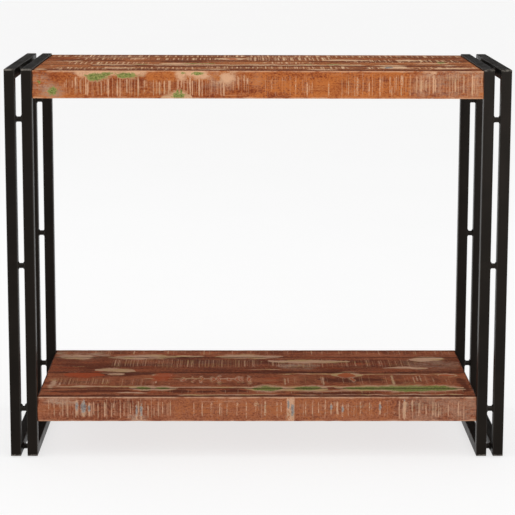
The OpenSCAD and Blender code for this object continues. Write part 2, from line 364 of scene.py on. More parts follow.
def wood_material(name, wood, offset, tone=0.0):
    """Lacquered old wood. The mesh's attributes say softly where marks are, and noise frays them. Some
    marks paint light and shade: a sheen in the haze, shade between the saw strokes, and shade along the
    seams and beside the posts.
    """
    s = Shader(name, specular=0.1, offset=offset)
    height = grain(s, wood, 0, tone)
    end_grain(s, wood)
    bare, green, blue, haze_and_sheen = s.attribute("paint")
    dark, warm, arris, dirt_and_shade = s.attribute("wear")
    crumbs = s.noise((260, 380, 380), 31, detail=5, roughness=0.72)
    broad = s.noise((45, 90, 90), 33, detail=3)
    shake = s.total(s.swing(crumbs, 0.75), s.swing(broad, 0.35))

    def mask(field, most, soft=0.07):
        return s.product(s.step(s.total(field, shake), 0.5 - soft, 0.5 + soft), most)

    strokes, shade_between_strokes = saw_strokes(s, wood.bold)
    cloudy = s.step(s.noise((40, 60, 60), 40, detail=5, roughness=0.65), 0.38, 0.6)
    # Darker patches of the wood, and painted shade between the saw strokes.
    s.coat(wood.dark, s.most(mask(dark, 0.88, 0.2), s.product(shade_between_strokes, cloudy, 0.45)))
    greyer = s.step(s.noise((22, 45, 45), 41), 0.42, 0.66)
    pale = s.mix(greyer, *wood.filler)
    through = s.scaled(s.step(crumbs, 0.5, 0.66), -0.45, 1.0)
    haze_and_sheen_breakup = s.step(s.total(crumbs, s.swing(broad, 0.4)), 0.3, 0.7)
    # Haze: hazy remains of paint, and over the facings' right ends a painted sheen.
    s.coat(s.mix(0.5, pale, HAZE_AND_SHEEN_GREY), haze_and_sheen, haze_and_sheen_breakup, 0.75)
    streak = s.step(s.noise((11, 240, 240), 45, detail=6, roughness=0.6), 0.57, 0.68)
    s.coat(pale, streak, s.step(cloudy, 0.2, 0.9), 0.3 * wood.bold)
    deep = s.scaled(s.step(bare, 0.55, 0.8), 0.42, 0.55)
    bare_mask = s.most(s.product(mask(bare, 1.0), through, deep), strokes)
    s.coat(pale, bare_mask)
    s.coat(wood.warm, mask(warm, 0.85))
    green_mask, blue_mask = mask(green, 0.92), mask(blue, 0.85)
    s.coat(s.mix(s.step(crumbs, 0.4, 0.6), *OLD_GREEN), green_mask)
    s.coat(s.mix(s.step(crumbs, 0.4, 0.62), *OLD_BLUE), blue_mask)
    s.coat(wood.filler[0], arris, s.step(broad, 0.3, 0.55), 0.6)
    # Darker along the seams and beside the posts: dirt, and painted shade.
    s.coat(DIRT_AND_SHADE, s.step(s.total(dirt_and_shade, s.swing(crumbs, 0.3)), 0.12, 0.42), 0.85)

    paint = s.most(bare_mask, green_mask, blue_mask)
    worn = s.noise((18, 30, 30), 51)
    roughness = s.total(s.product(worn, 0.3), s.product(paint, 0.12), 0.45)
    scratch = s.step(s.noise((40, 900, 900), 61, detail=2), 0.7, 0.76)
    sinks = s.total(s.product(paint, 0.8), s.product(scratch, 0.4), s.product(shade_between_strokes, 0.3))
    normal = s.bump(s.minus(height, sinks), 0.00035, 0.7)
    return s.finish(normal, roughness)


def plain_wood_material(name, wood, offset):
    """Sawn wood without paint, along Y, with fine saw lines across it."""
    s = Shader(name, specular=0.25, offset=offset)
    height = grain(s, wood, 1)
    s.coat(wood.dark, s.step(s.noise((26, 12, 26), 71, detail=1), 0.74, 0.8), 0.7)
    roughness = s.total(s.product(s.noise(500, 73, detail=3), 0.25), 0.55)
    sawn = s.noise((12, 700, 12), 75, detail=2)
    normal = s.bump(s.total(height, s.product(sawn, 0.7)), 0.0004, 0.8)
    return s.finish(normal, roughness)


def zinc_material():
    """Dull zinc plate: bluish grey, blotched, with fine turning marks."""
    s = Shader("zinc_plate")
    s.surface({"Metallic": 1.0})
    blotch = s.noise(500, 1.0, detail=5)
    s.colour = s.ramp(blotch, (0.3, tint(150, 150, 150)), (0.7, tint(196, 198, 200)))
    s.coat(tint(190, 176, 130), s.step(s.noise(260, 5.0), 0.55, 0.7), 0.3)
    marks = s.bump(s.noise(3000, 2.0, detail=2), 0.00002, 0.6)
    return s.finish(marks, s.total(s.product(blotch, 0.3), 0.25))


def plastic_material():
    """Matte black moulded plastic, scuffed grey where it slides."""
    s = Shader("glide_plastic", specular=0.4)
    scuff = s.step(s.noise((400, 120, 400), 3.0, detail=5), 0.55, 0.75)
    s.colour = tint(24, 24, 26)
    s.coat(tint(70, 70, 70), scuff, 0.6)
    skin = s.bump(s.noise(1800, detail=2), 0.00004, 0.6)
    return s.finish(skin, s.total(s.product(scuff, 0.2), 0.55))


def floor_material():
    """Pale floor with the faintest mottle, which glows so that the table's shadow stays faint."""
    s = Shader("pale_floor", roughness=0.85, specular=0.05)
    s.colour = s.mix(s.noise(1.5, detail=3), tint(138, 138, 138), tint(142, 142, 142))
    s.surface({"Emission Color": (1.0, 1.0, 1.0, 1.0), "Emission Strength": 0.72})
    s.material.cycles.emission_sampling = "NONE"
    return s.finish(s.bump(s.noise(300, detail=2), 0.0002, 0.2))


# ---- Marks on the wood ----

def window(low, high, fade, value):
    """1 between low and high, 0 outside, and smooth over fade to either side of both."""
    return smoothstep(low - fade, low + fade, value) * smoothstep(high + fade, high - fade, value)


class Marks:
    """Soft masks over one face, with coordinates u along the board and v across the face, in
    millimetres. A mask is 0.5 at a mark's edge and rises to the mark's strength in its middle."""

    NAMES = ("bare", "green", "blue", "haze_and_sheen", "dark", "warm", "sawn")

    def __init__(self, u, v, seed):
        self.u, self.v = u, v
        self.rng = np.random.default_rng(seed)
        self.fields = {name: np.zeros(u.shape) for name in (*self.NAMES, "own")}
        self.fields["pitch"] = np.full(u.shape, 10.0)
        self.wobble = self.noise(9, 6)
        self.swell = self.noise(5, 7)
        self.drift = self.noise(40, 25)
        self.bent = u, v  # where all but single strokes are drawn, which warp changes

    def noise(self, long, short):
        return value_noise(self.rng, self.u, self.v, long, short)

    def warp(self, along, across):
        """Pulls the outlines of all but single strokes out of shape by about the given mm."""
        self.bent = (self.u + along * (0.7 * self.noise(60, 18) + 0.4 * self.noise(14, 7)),
                     self.v + across * (0.7 * self.noise(38, 22) + 0.5 * self.noise(11, 8)))

    def raise_to(self, name, value):
        self.fields[name] = np.maximum(self.fields[name], value)

    def draw(self, name, strength, away, within=1.0):
        """A mark whose edge is where away is about 1."""
        self.raise_to(name, np.clip(strength - 0.5 * away, 0, 1) * within)

    def blob(self, name, u, v, half_u, half_v, strength=1.0):
        """An uneven oval."""
        away = np.hypot((self.bent[0] - u) / half_u, (self.bent[1] - v) / half_v)
        self.draw(name, strength, away * (1 + 0.2 * self.wobble) + 0.15 * self.swell)

    def lens(self, name, start, end, v, half_v, strength=1.0):
        """A long sliver that runs along the board from start to end and tapers at both."""
        here_u, here_v = self.bent
        along = 2 * (here_u - start) / (end - start) - 1
        half = half_v * np.clip(1 - along ** 2, 0, 1) ** 0.7 + 1e-6
        shift = half_v * (0.35 * self.drift + 0.15 * self.wobble)
        self.draw(name, strength, np.abs(here_v - v + shift) / half, np.abs(along) < 1)

    def line(self, name, start, end, v, half_v, strength=0.95):
        """A thin wavering line along the board, which fades at both ends."""
        here_u, here_v = self.bent
        ends = np.clip(np.minimum(here_u - start, end - here_u) / 25, 0, 1)
        away = np.abs(here_v - v + 3.5 * self.drift) / (half_v * (1 + 0.35 * self.wobble))
        self.draw(name, strength, away, ends)

    def outlined(self, inside, start, end, v, half_v):
        """A sliver of one mark with a pale outline."""
        self.lens("bare", start - 14, end + 14, v, half_v + 5.5, 1.25)
        self.lens(inside, start, end, v, half_v, 1.2)

    def loops(self, v, *marks):
        """Small pale rings round red wood."""
        for u, half_u, half_v in marks:
            self.blob("bare", u, v, half_u, half_v)
            self.blob("warm", u, v, half_u * 0.5, half_v * 0.55)

    def stroke(self, name, u, low, high, half_u, strength=1.05, lean=0.0):
        """A saw mark across the grain, from v = low to high, which tapers at both ends."""
        centre = u + lean * (self.v - (low + high) / 2) + 0.35 * self.wobble
        reach = np.minimum(self.v - low, high - self.v)
        taper = np.clip(reach / (0.2 * (high - low)), 0, 1) ** 0.4
        half = half_u * (1 + 0.3 * self.swell)
        self.raise_to(name, np.clip((strength - 0.5 * np.abs(self.u - centre) / half) * taper, 0, 1))

    def strokes(self, name, *marks):
        for mark in marks:
            self.stroke(name, *mark, self.rng.uniform(0.78, 1.0))

    def spread(self, name, start, end, low, high, strength, fade=12):
        """An even patch with soft sides."""
        u, v = self.bent
        self.raise_to(name, strength * window(start, end, fade, u) * window(low, high, fade / 2, v))

    def rows(self, *marks):
        """Stretches of saw marks between v = low and high, about pitch apart. A lower strength
        shows fewer and shorter ones."""
        u, v = self.bent
        for start, end, low, high, pitch, strength in marks:
            middle, half = (low + high) / 2, (high - low) / 2
            value = np.clip(1.6 * (half - np.abs(v - middle)) / half, 0, 1) * strength
            value = value * window(start, end, 12, u)
            mine = value > self.fields["sawn"]
            self.raise_to("sawn", value)
            self.fields["own"] = np.where(mine, self.rng.random(), self.fields["own"])
            self.fields["pitch"] = np.where(mine, pitch, self.fields["pitch"])


def each(draw, name, *marks, **shared):
    """Draws several marks of one kind in one mask."""
    for mark in marks:
        draw(name, *mark, **shared)


# On a facing u runs along the board from its middle and v up from its underside. On the planks v
# runs from front to rear, from the board's middle.

def mark_top_front(m):
    """Green paint at the left, saw marks all along, warmer wood right of the middle, and haze over the
    right end that paints a sheen.
    """
    m.rows((-362, -200, 0, 46, 9, 0.58), (-200, -60, 0, 40, 9, 0.62), (-60, -15, 6, 50, 10, 0.58),
           (10, 100, 0, 50, 9.5, 0.66), (155, 345, 0, 50, 9.5, 0.68), (345, 420, 0, 52, 9, 0.82))
    each(m.spread, "warm", (-25, 290, -10, 60, 0.47), (-215, -150, 30, 60, 0.5))
    each(m.spread, "dark", (-350, -205, 14, 40, 0.44), (-195, -155, 14, 34, 0.42),
         (-142, -84, 14, 36, 0.5), (-430, -362, 0, 60, 0.4), (-362, -70, 0, 60, 0.32))
    # Over the right end the haze paints a sheen.
    each(m.spread, "haze_and_sheen", (292, 430, 0, 52, 0.45, 20), (310, 430, 36, 52, 0.7),
         (-430, 430, 50.2, 53, 0.9, 2))
    each(m.blob, "haze_and_sheen", (-407, 31, 11, 10, 1.2), (-396, 23, 12, 8), (-386, 15, 13, 9, 1.2),
         (-70, 39, 22, 13, 1.1), (-2, 30, 9, 16, 0.8))
    each(m.blob, "green", (-409, 31, 6, 5, 0.85), (-384, 14, 7.5, 6.5, 0.98), (-303, 41, 17, 7, 1.02),
         (-284, 46, 12, 3.5, 0.98), (-247, 44, 17, 4.5, 1.02), (-113, 47, 10, 3, 1.02),
         (-140, 48, 6, 3, 0.72), (-150, 4, 11, 6))
    each(m.blob, "bare", (-330, 50, 14, 11), (-303, 46, 24, 13), (-270, 52, 34, 10), (-246, 47, 20, 8),
         (-222, 51, 18, 8), (-144, 44, 11, 10), (-122, 49, 22, 8), (-107, 45, 13, 8), strength=1.08)
    m.lens("bare", -184, -122, 3, 10, 1.05)
    m.strokes("green", (-150, 4, 18, 1.8), (-144, 6, 18, 1.8))
    each(m.blob, "bare", (-58, 39, 13, 11, 1.05), (329, 49, 9, 4, 0.95))
    m.strokes("bare", (-358, 19, 37, 1.0), (-341, 22, 43, 1.4), (-332, 8, 40, 1.6), (-319, 3, 33, 2.2),
              (-293, 1, 34, 1.3), (-280, 1, 42, 1.8), (-263, 2, 40, 2.2), (-245, 7, 40, 1.6),
              (-224, 3, 43, 1.7), (-184, 4, 35, 1.6), (-165, 12, 37, 1.4), (-149, 18, 38, 1.4),
              (-143, 18, 38, 1.5), (-127, 1, 43, 1.9), (-110, 1, 42, 1.7), (-88, 6, 49, 1.2),
              (-64, 3, 33, 1.9), (-38, 25, 44, 2.0), (-26, 25, 47, 2.0), (-20, 26, 40, 1.4),
              (27, 14, 45, 1.1), (60, 2, 38, 1.5), (70, 4, 41, 1.6), (92, 2, 34, 1.5),
              (101, 4, 36, 1.4), (132, 2, 35, 1.6), (169, 2, 41, 1.9), (186, 2, 44, 2.4),
              (208, 2, 38, 1.5), (228, 2, 41, 2.6), (250, 2, 28, 2.6), (258, 13, 47, 1.7),
              (270, 20, 46, 2.2), (305, 10, 38, 2.4), (314, 11, 38, 1.4), (328, 7, 48, 2.4),
              (369, 10, 41, 1.8), (384, 13, 49, 1.4), (401, 2, 49, 2.0))
    m.stroke("dark", 102, 32, 50, 1.4, 1.3, lean=-0.45)


def mark_shelf_front(m):
    """Single saw marks all along, some with blue paint in them, and haze over the right end that paints a
    sheen.
    """
    m.rows((-408, -165, 0, 48, 8, 0.45), (-125, 50, 0, 48, 15, 0.3), (80, 260, 0, 48, 12, 0.35),
           (262, 415, 0, 48, 10, 0.45))
    m.spread("warm", -165, 270, -10, 60, 0.44)
    m.spread("dark", -425, -250, 0, 40, 0.36)
    # Over the right end the haze paints a sheen.
    each(m.spread, "haze_and_sheen", (-406, -352, 32, 46, 0.8), (276, 430, 0, 50, 0.38, 20),
         (-247, -215, 0, 14, 0.85, 8), (-430, 430, 46, 49, 1.0, 2))
    for u, low, high, half_u in ((-347, 22, 38, 2.8), (-334, 18, 36, 4.0), (-323, 19, 32, 2.4),
                                 (-232, 13, 29, 1.8), (-223, 12, 30, 2.4), (142, 23, 33, 1.8),
                                 (164, 18, 30, 2.0), (236, 23, 35, 2.2)):
        m.stroke("bare", u, low - 13, high + 7, half_u * 1.35, 0.9)
        m.blob("blue", u, (low + high) / 2, half_u, (high - low) / 2, 1.02)
    m.spread("bare", 55.5, 72.5, -6, 54, 0.8, 2.5)
    each(m.blob, "blue", (60, 32, 2.4, 11, 0.95), (67.5, 20, 3.2, 12, 1.02), (283, 41, 2, 2.5, 0.9))
    each(m.stroke, "bare", (283, 1, 45, 3.6), (154, 6, 42, 2.2))
    m.strokes("bare", (-401, 20, 44, 1.4), (-375, 8, 38, 1.3), (-364, 5, 35, 1.3), (-314, 9, 40, 1.2),
              (-306, 2, 38, 1.4), (-293, 6, 41, 2.0), (-280, 5, 39, 1.4), (-263, 2, 35, 1.4),
              (-256, 6, 39, 1.3), (-244, 9, 39, 1.4), (-210, 5, 35, 1.2), (-190, 2, 43, 2.0),
              (-182, 14, 41, 1.4), (-167, 6, 42, 1.6), (-122, 8, 41, 1.1), (-106, 5, 41, 1.7),
              (-89, 9, 38, 1.1), (-72, 8, 42, 2.0), (-58, 8, 41, 1.5), (-39, 5, 44, 1.6),
              (-21, 2, 42, 1.7), (-3, 16, 44, 2.4), (3, 18, 38, 1.2), (15, 8, 44, 2.2),
              (38, 2, 42, 1.5), (46, 14, 40, 1.2), (93, 10, 41, 1.2), (106, 8, 41, 1.4),
              (118, 12, 42, 1.2), (131, 8, 47, 1.6), (175, 8, 39, 1.3), (186, 6, 32, 1.5),
              (216, 10, 41, 1.3), (298, 16, 45, 2.4), (311, 8, 41, 1.4), (325, 9, 36, 1.4),
              (338, 8, 41, 1.5), (349, 3, 39, 1.8), (368, 6, 38, 1.3), (387, 8, 40, 1.3))
    each(m.blob, "bare", (-88, 35, 4, 6), (-38, 34, 4, 6), (-4, 33, 4, 6), (-1, 35, 4, 6), strength=0.85)


def mark_top_surface(m):
    """Rows of saw marks, with bare patches and a few remains of green and blue."""
    m.warp(9, 7)
    m.rows((-360, -210, 60, 120, 11, 0.7), (-205, -75, 60, 118, 9, 0.95), (-20, 150, 40, 165, 8, 1.0),
           (180, 400, 0, 80, 11, 0.85), (-365, -215, -42, 15, 10, 1.0), (10, 110, -25, 18, 9, 0.8),
           (-385, -120, -165, -100, 10, 1.0), (8, 170, -150, -86, 10, 1.0), (-100, 8, -140, -90, 8, 0.7),
           (200, 420, -150, -95, 11, 0.8), (-420, 420, 125, 190, 11, 0.7))
    each(m.lens, "bare", (-418, -398, 26, 4), (-424, -396, -152, 10), (-292, -244, -128, 16),
         (-250, -228, 88, 14), (-122, -46, -150, 10), (98, 156, -156, 8), (130, 226, 62, 17),
         (270, 342, 60, 16), (-84, -62, 92, 12), (-34, -18, 92, 10), (90, 110, -36, 14),
         (136, 160, -36, 12), (330, 412, -132, 13), strength=1.02)
    m.lens("haze_and_sheen", -360, -210, 130, 14, 1.02)
    each(m.line, "bare", (-335, 15, -54, 9), (-30, 220, -54, 12), (210, 300, -62, 10), (300, 390, -18, 8),
         (-415, -385, -72, 8), (350, 400, -62, 9), (-200, -80, -22, 9), (-20, 10, -34, 8),
         (-420, -330, 28, 6), strength=1.15)
    each(m.line, "dark", (-335, 420, -82, 10), (-200, -90, 18, 12), (-420, 420, -174, 12),
         (-60, 20, -88, 14), (180, 420, 26, 12), (-420, 100, 176, 10), (90, 200, 24, 10),
         (-420, -250, 50, 8), strength=1.2)
    each(m.lens, "green", (-240, -205, -40, 8, 0.78), (-150, -82, -20, 9, 0.86), (92, 112, -34, 9, 0.85),
         (134, 160, -34, 9, 0.85))
    m.blob("green", 358, 2, 9, 15, 0.95)
    m.outlined("warm", -64, -36, 92, 12)
    m.lens("bare", 226, 292, -108, 30, 1.08)
    m.lens("blue", 238, 258, -108, 22)
    m.spread("bare", -6, -1, -160, -50, 0.62, 3)


def mark_shelf_surface(m):
    """Green slivers near the front, red rings behind them, and bare patches at the rear."""
    m.warp(6, 3.5)
    m.rows((-300, -205, 35, 125, 8, 0.62), (-205, 10, 35, 115, 9, 0.8), (20, 330, 30, 120, 13, 0.55),
           (-402, -290, -100, -42, 9, 0.95), (-280, -205, -110, -45, 20, 0.8),
           (-415, 415, 148, 192, 38, 0.9), (40, 400, -100, -20, 42, 0.6),
           (-200, 420, -165, -132, 50, 0.75))
    each(m.lens, "bare", (-410, -331, 130, 21), (-308, -158, 130, 19), (-170, -106, 138, 9),
         (-86, 60, 132, 18), (20, 196, 92, 13), (320, 396, 112, 20), (-330, -246, 19, 20),
         (-296, -262, -12, 9), (256, 354, 39, 7), (150, 216, -18, 20), (-215, -172, -22, 16),
         (364, 408, -22, 14), strength=1.05)
    each(m.lens, "haze_and_sheen", (40, 130, 58, 22, 1.1), (-430, -300, 150, 40, 0.8), (300, 424, 70, 60, 0.6))
    each(m.lens, "warm", (-390, -300, -17, 18, 1.1), (163, 199, -22, 11, 1.25), (366, 404, -22, 8, 1.1))
    each(m.line, "bare", (-395, -310, 2, 3), (-400, -330, 48, 2), (-250, -20, -50, 3),
         (-412, -180, -110, 6), (-190, 20, -116, 6), (20, 400, -112, 5), (20, 330, -140, 5),
         (-290, -200, -158, 6), (-170, 60, -172, 4), (30, 420, -13, 3), (-30, 70, 22, 3),
         (60, 420, -172, 3))
    m.blob("warm", -193, -36, 15, 26, 1.15)
    each(m.blob, "bare", (-190, -52, 7, 14), (-403, -88, 7.5, 46), (-389, -92, 4, 22, 0.85))
    m.loops(-54, (-147, 5, 18), (-126, 2.5, 24), (-110, 4, 30), (-87, 7, 20), (-75, 4.5, 40),
            (-55, 6, 14), (-37, 4.5, 25), (-29, 4, 24), (-14, 4.5, 38), (191, 5, 22))
    m.strokes("bare", (56, -100, -45, 2.0), (132, -105, -28, 3.2), (271, -105, -15, 3.4),
              (320, -70, -18, 2.0), (327, -75, -18, 2.0), (352, -75, -42, 1.8), (-200, -90, -50, 2.2))
    each(m.outlined, "green", (-240, -208, -121, 6), (-200, -170, -121, 6), (-10, 55, -126, 12),
         (72, 128, -124, 11), (168, 300, -122, 9), (240, 392, -124, 17))
    each(m.lens, "dark", (-180, -130, -145, 15), (-122, -84, -145, 11), (-76, -20, -145, 11),
         (-228, -208, -142, 10), (60, 240, -160, 12), (-30, 110, 8, 7), (-420, -230, -146, 14),
         (120, 260, -60, 16), (-320, -180, -12, 14), strength=0.95)
    each(m.line, "dark", (-430, 430, -184, 7, 1.3), (-430, 430, -6, 3, 0.9), (-430, 430, 186, 5, 0.9))
    m.spread("dark", 396, 420, -150, -40, 0.7)


def mark_rear(m):
    """The rear facings, away from the viewer, carry saw marks too, and a little paint."""
    m.rows((-415, -260, 0, 48, 10, 0.8), (-180, 40, 0, 48, 12, 0.65), (130, 415, 0, 48, 9, 0.9))
    m.spread("dark", -330, -120, 8, 40, 0.42)
    m.spread("haze_and_sheen", -425, -330, 20, 52, 0.5)
    each(m.lens, "bare", (-380, -250, 44, 9, 1.05), (120, 260, 6, 9))
    each(m.lens, "green", (-350, -290, 43, 5), (150, 215, 5, 5))
    m.stroke("bare", -90, 4, 42, 5)
    m.blob("blue", -90, 25, 3, 12)


# ---- Wooden pieces ----

def add_to_scene(name, data):
    ob = bpy.data.objects.new(name, data)
    bpy.context.scene.collection.objects.link(ob)
    return ob


def finish_mesh(name, vertices, faces, material):
    """Makes a smooth-shaded object in metres from points in millimetres."""
    mesh = bpy.data.meshes.new(name)
    mesh.from_pydata((np.asarray(vertices) * MM).tolist(), [], faces)
    mesh.update()
    mesh.polygons.foreach_set("use_smooth", [True] * len(mesh.polygons))
    mesh.set_sharp_from_angle(angle=SHARP)
    mesh.materials.append(material)
    piece = add_to_scene(name, mesh)
    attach(piece, "root")
    return piece


def closed_loop_faces(rings, points):
    """Quads between rings of points that close on themselves, and a cap at either end."""
    index = np.arange(rings * points).reshape(rings, points)
    near, far = index[:-1], index[1:]
    quads = np.stack([near, far, np.roll(far, -1, 1), np.roll(near, -1, 1)], -1).reshape(-1, 4)
    return quads.tolist() + [index[0].tolist(), index[-1][::-1].tolist()]


def unit(vector):
    return vector / np.linalg.norm(vector)


def rounded_section(corners, radii, spacing):
    """A section's outline through corners, each rounded by its own radius at every station.

    Returns Y and Z of each point and the point's place on the outline: k on the rounding of corner
    k, and k + 0.5 on the edge from corner k to the next."""
    count = len(corners)
    points, places = [], []
    for k, corner in enumerate(corners):
        before, after = corners[k - 1], corners[(k + 1) % count]
        back, ahead = unit(before - corner), unit(after - corner)
        for t in np.linspace(0, 1, 4):
            points.append(corner + np.outer(radii[k], (1 - t) ** 2 * back + t ** 2 * ahead))
            places.append(k)
        pieces = max(1, round(np.linalg.norm(after - corner) / spacing[k]))
        start = corner + np.outer(radii[k], ahead)
        end = after - np.outer(radii[(k + 1) % count], ahead)
        for t in np.arange(1, pieces) / pieces:
            points.append(start * (1 - t) + end * t)
            places.append(k + 0.5)
    ys, zs = np.moveaxis(np.stack(points, 1), -1, 0)
    return ys, zs, np.array(places)


def stations(low, high, step):
    """Places along a board, closer together at its two ends."""
    inner = np.linspace(low + END_EASE, high - END_EASE, round((high - low) / step))
    ease = END_EASE * np.array([0, 0.15, 0.5])
    return np.concatenate([low + ease, inner, (high - ease)[::-1]])


def worn_radius(rng, x, usual, nick):
    """Radius of an arris along a board, with worn stretches and a few nicks."""
    flat = np.zeros_like(x)
    radius = usual * (1 + 0.45 * value_noise(rng, x, flat, 45, 1)
                      + 0.25 * value_noise(rng, x, flat, 9, 1))
    for place in rng.uniform(x.min(), x.max(), 9):
        width = rng.uniform(3, 9)
        radius += nick * rng.uniform(0.3, 1) * np.exp(-((x - place) / width) ** 2)
    return radius


def paint_mesh(piece, name, *masks):
    """Gives a mesh a colour attribute that holds four masks, one number each per vertex."""
    attribute = piece.data.color_attributes.new(name, "FLOAT_COLOR", "POINT")
    attribute.data.foreach_set("color", np.stack(masks, -1).ravel())


def board_piece(node, material, corners, radii, spacing, show, marks, seed, x_step, wear,
                seam_dirt_and_shade=(0, 0), zero=0.0):
    """A plank or facing: a section swept along X, its show edge uneven and recessed at its marks.

    show is the edge that is seen, and marks fills in a Marks object for it, with v counted from
    zero. The argument after wear says how far dirt and painted shade darken the seams at its two ends;
    they also darken the wood beside the posts."""
    rng = np.random.default_rng(seed)
    corners = np.array(corners, float)
    low, high = box_mm(node)
    x = stations(low[0], high[0], x_step)
    radii = [worn_radius(rng, x, usual, nick) for usual, nick in radii]
    ys, zs, places = rounded_section(corners, radii, spacing)
    xs = np.repeat(x[:, None], ys.shape[1], 1)

    start, end = corners[show], corners[show + 1]
    along = unit(end - start)
    outward = np.array([along[1], -along[0]])
    if outward @ (start - corners.mean(0)) < 0:
        outward = -outward
    seen = (places >= show) & (places <= show + 1)
    across = zs if abs(along[1]) > abs(along[0]) else ys
    m = Marks(xs, across - zero, seed + 1)
    marks(m)
    fields = m.fields
    for name in m.NAMES:
        fields[name] = np.where(seen, fields[name], 0)

    wave = 0.5 + 0.5 * value_noise(rng, xs, across, 70, 24)
    ripple = 0.5 + 0.5 * value_noise(rng, xs, across, 7, 5)
    # How far the face lies below the CAD's, in mm: in waves, in ripples and at the bare patches.
    sunk = 0.28 * wave + 0.10 * ripple + 0.32 * smoothstep(0.3, 0.8, fields["bare"])
    from_start = np.abs(across - start @ np.abs(along))
    from_end = np.abs(across - end @ np.abs(along))
    from_post = np.minimum(xs - low[0], high[0] - xs)
    reach = 2.6 + 1.6 * value_noise(rng, xs, across, 24, 9)
    # Dirt and painted shade: darker along the seams at either end and beside the posts.
    dirt_and_shade = np.max([seam_dirt_and_shade[0] * np.clip(1 - from_start / reach, 0, 1),
                    seam_dirt_and_shade[1] * np.clip(1 - from_end / reach, 0, 1),
                    np.clip(1.1 - from_post / reach, 0, 1)], 0)
    inside = np.clip(from_post / END_EASE, 0, 1)
    drop = END_DROP * (1 - np.sqrt(1 - (1 - inside) ** 2))
    sunk = sunk * smoothstep(0, 2.5, np.minimum(from_start, from_end)) + drop
    sunk = np.where(seen, sunk, 0)
    points = np.stack([xs, ys - outward[0] * sunk, zs - outward[1] * sunk], -1)

    piece = finish_mesh(node + "_wood", points.reshape(-1, 3), closed_loop_faces(*ys.shape),
                        material)
    arris = np.where((places == show) | (places == show + 1), wear, 0.0) + 0 * xs
    paint_mesh(piece, "paint", fields["bare"], fields["green"], fields["blue"], fields["haze_and_sheen"])
    # The last channel is dirt and painted shade along the seams and beside the posts.
    paint_mesh(piece, "wear", fields["dark"], fields["warm"], arris, np.where(seen, dirt_and_shade, 0))
    paint_mesh(piece, "rows", fields["sawn"], fields["own"], fields["pitch"], 0 * xs)
    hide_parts(node)


def mitre(board):
    """A facing's thickness, and the width of its mitred top edge."""
    low, high = box_mm(board + "_front_facing")
    return high[1] - low[1], box_mm(board + "_plank_1")[0][1] - low[1]


def add_planks(board, wood, marks, seed):
    """The planks of a board, each with a tone and grain of its own, and a small gap at its seams."""
    thick, land = mitre(board)
    count = BOARDS[board]
    tones = np.random.default_rng(seed).uniform(-0.09, 0.09, count)

    def half_section(edge, inward, mitred):
        """One side of a plank, from its underside up: at a seam, or mitred over a facing."""
        seam = edge + inward * JOINT_GAP
        if not mitred:
            return [(seam, low[2]), (seam, high[2])]
        behind = edge + inward * (thick - land)
        return [(behind, low[2]), (behind, low[2] + land), (seam, high[2])]

    for i in range(count):
        node = f"{board}_plank_{i + 1}"
        low, high = box_mm(node)
        first, last = i == 0, i == count - 1
        before = half_section(low[1], 1, first)
        section = before + half_section(high[1], -1, last)[::-1]
        show = len(before) - 1
        radii = [HIDDEN_ARRIS] * len(section)
        radii[show:show + 2] = [MITRE_ARRIS if outer else PLANK_ARRIS for outer in (first, last)]
        spacing = [UNSEEN] * len(section)
        spacing[show] = 2.2
        material = wood_material(node + "_wood", wood, seed + 17.3 * i, tones[i])
        board_piece(node, material, section, radii, spacing, show, marks, seed + i, x_step=1.6,
                    wear=0.25, seam_dirt_and_shade=[0.6 if outer else 1.0 for outer in (first, last)])


def add_facing(board, face, wood, marks, seed, x_step):
    """The board's front or rear facing, whose outer face is the board's full thickness."""
    node = f"{board}_{face}_facing"
    low, high = box_mm(node)
    plank_low, plank_high = box_mm(board + "_plank_1")
    _, land = mitre(board)
    lip = high[2] - (plank_high[2] - plank_low[2]) + land
    outer, inner = (low[1], high[1]) if face == "front" else (high[1], low[1])
    edge = outer + math.copysign(land, inner - outer)
    section = [(inner, low[2]), (inner, lip), (edge, high[2]), (outer, high[2]), (outer, low[2])]
    radii = [HIDDEN_ARRIS, HIDDEN_ARRIS, MITRE_ARRIS, EDGE_ARRIS, EDGE_ARRIS]
    material = wood_material(node + "_wood", wood, seed * 1.7, 0.02)
    board_piece(node, material, section, radii, [UNSEEN, UNSEEN, 1.6, 2.0, UNSEEN], 3, marks,
                seed, x_step, wear=1.0, zero=low[2])


def add_boards():
    add_planks("top", TOP_PLANK, mark_top_surface, seed=11)
    add_planks("shelf", SHELF_PLANK, mark_shelf_surface, seed=41)
    add_facing("top", "front", TOP_FACE, mark_top_front, seed=71, x_step=1.0)
    add_facing("shelf", "front", SHELF_FACE, mark_shelf_front, seed=83, x_step=1.0)
    add_facing("top", "rear", TOP_FACE, mark_rear, seed=97, x_step=2.5)
    add_facing("shelf", "rear", SHELF_FACE, mark_rear, seed=107, x_step=2.5)


# ---- Welds, screws and glides ----

def solids_mm(node):
    """The lowest and highest corners and the middle, in mm, of every separate solid of a CAD node."""
    mesh = frame["nodes"][node].data
    places = np.round([np.array(vertex.co) / MM for vertex in mesh.vertices], 3)
    corners, index = np.unique(places, axis=0, return_inverse=True)
    faces = [index.ravel()[list(face.vertices)] for face in mesh.polygons]
    group, before = np.arange(len(corners)), None
    while not np.array_equal(group, before):
        before = group.copy()
        for face in faces:
            group[face] = group[face].min()
    boxes = [(corners[group == g].min(0), corners[group == g].max(0)) for g in np.unique(group)]
    return [(low, high, (low + high) / 2) for low, high in boxes]


def join_shapes(name, shapes, material, replaced=None):
    """One piece made of closed shapes, each a pair of points and faces, with all faces outward."""
    points = np.concatenate([shape[0] for shape in shapes])
    faces, first = [], 0
    for shape_points, shape_faces in shapes:
        faces += [[first + k for k in face] for face in shape_faces]
        first += len(shape_points)
    piece = finish_mesh(name, points, faces, material)
    work = bmesh.new()
    work.from_mesh(piece.data)
    bmesh.ops.recalc_face_normals(work, faces=work.faces)
    work.to_mesh(piece.data)
    work.free()
    if replaced:
        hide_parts(replaced)


